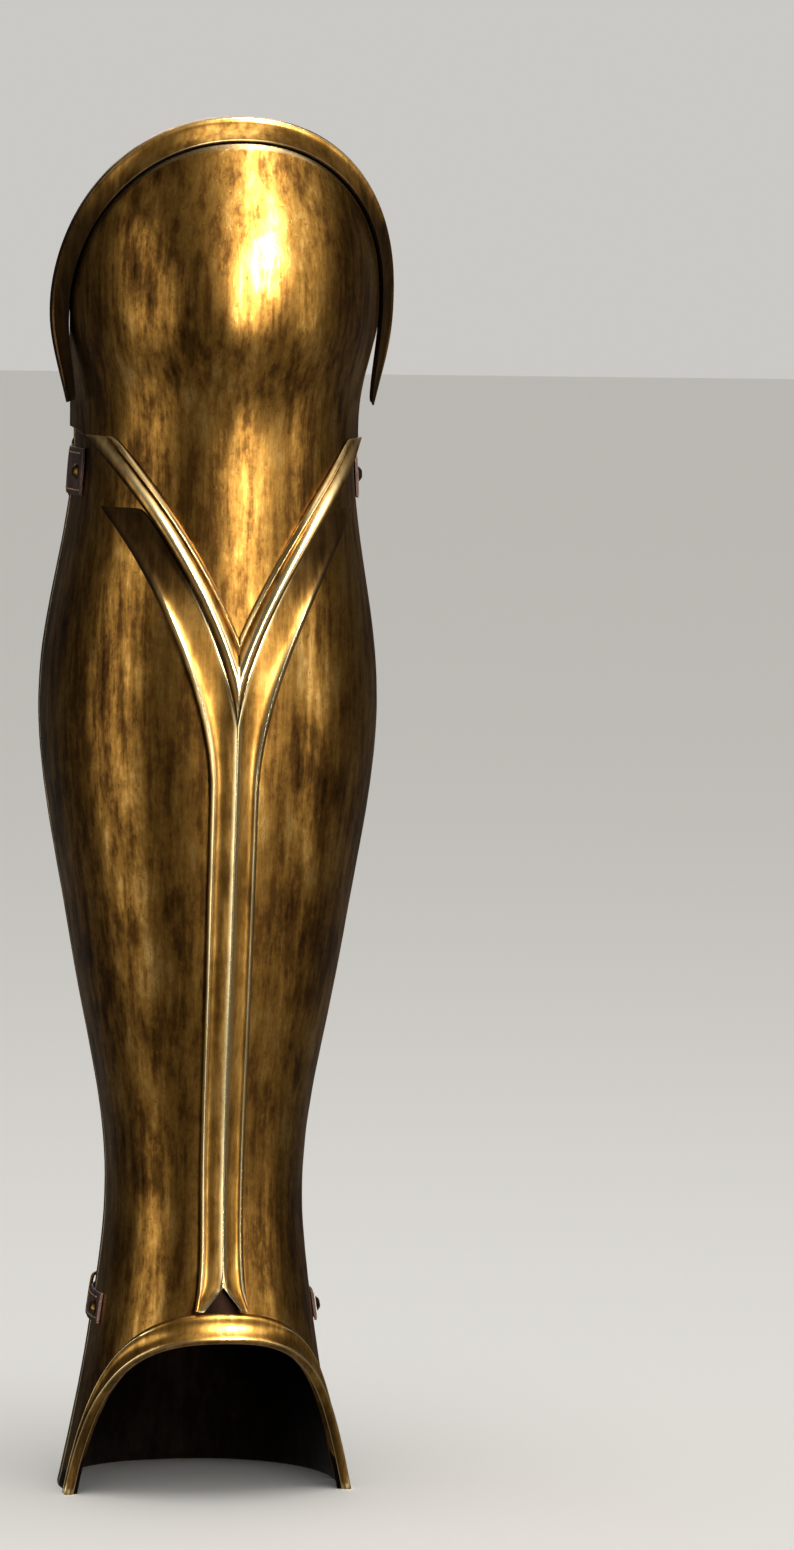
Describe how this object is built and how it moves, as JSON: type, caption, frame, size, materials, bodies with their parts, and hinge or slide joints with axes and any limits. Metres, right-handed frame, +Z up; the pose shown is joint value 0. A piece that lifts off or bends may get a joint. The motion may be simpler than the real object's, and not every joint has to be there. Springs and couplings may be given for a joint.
{
  "type": "greave",
  "caption": "Closed bronze greave for a left or right shin, with a flared knee cup, a V border, a Y-shaped shin rib, an arched foot opening and buckled side straps.",
  "frame": {"origin": "centre of the bounding box, on the floor under the standing greave", "axes": "+Z up from the foot to the knee, -Y towards the front of the shin, +X towards the viewer's right of it"},
  "size_m": [0.1258, 0.1458, 0.5],
  "materials": {
    "aged_bronze": "aged, mottled brown and gold",
    "dark_bronze": "aged, mottled dark brown",
    "worn_brass": "aged, rubbed bright on the raised edges",
    "fitting_brass": "dull, tarnished",
    "dark_leather": "worn, dark red-brown"
  },
  "bodies": {
    "root": {"shin_plate": "aged_bronze", "knee_plate": "aged_bronze", "back_plate": "dark_bronze", "knee_rim": "worn_brass", "v_band": "worn_brass", "shin_rib": "worn_brass", "ankle_rim": "worn_brass", "strap_upper_left": "dark_leather", "strap_upper_right": "dark_leather", "strap_lower_left": "dark_leather", "strap_lower_right": "dark_leather", "buckle_upper_left": "fitting_brass", "buckle_upper_right": "fitting_brass", "buckle_lower_left": "fitting_brass", "buckle_lower_right": "fitting_brass", "tongue_upper_left": "fitting_brass", "tongue_upper_right": "fitting_brass", "tongue_lower_left": "fitting_brass", "tongue_lower_right": "fitting_brass", "rivet_upper_left_front": "fitting_brass", "rivet_upper_left_rear": "fitting_brass", "rivet_upper_right_front": "fitting_brass", "rivet_upper_right_rear": "fitting_brass", "rivet_lower_left_front": "fitting_brass", "rivet_lower_left_rear": "fitting_brass", "rivet_lower_right_front": "fitting_brass", "rivet_lower_right_rear": "fitting_brass"}
  },
  "joints": []
}
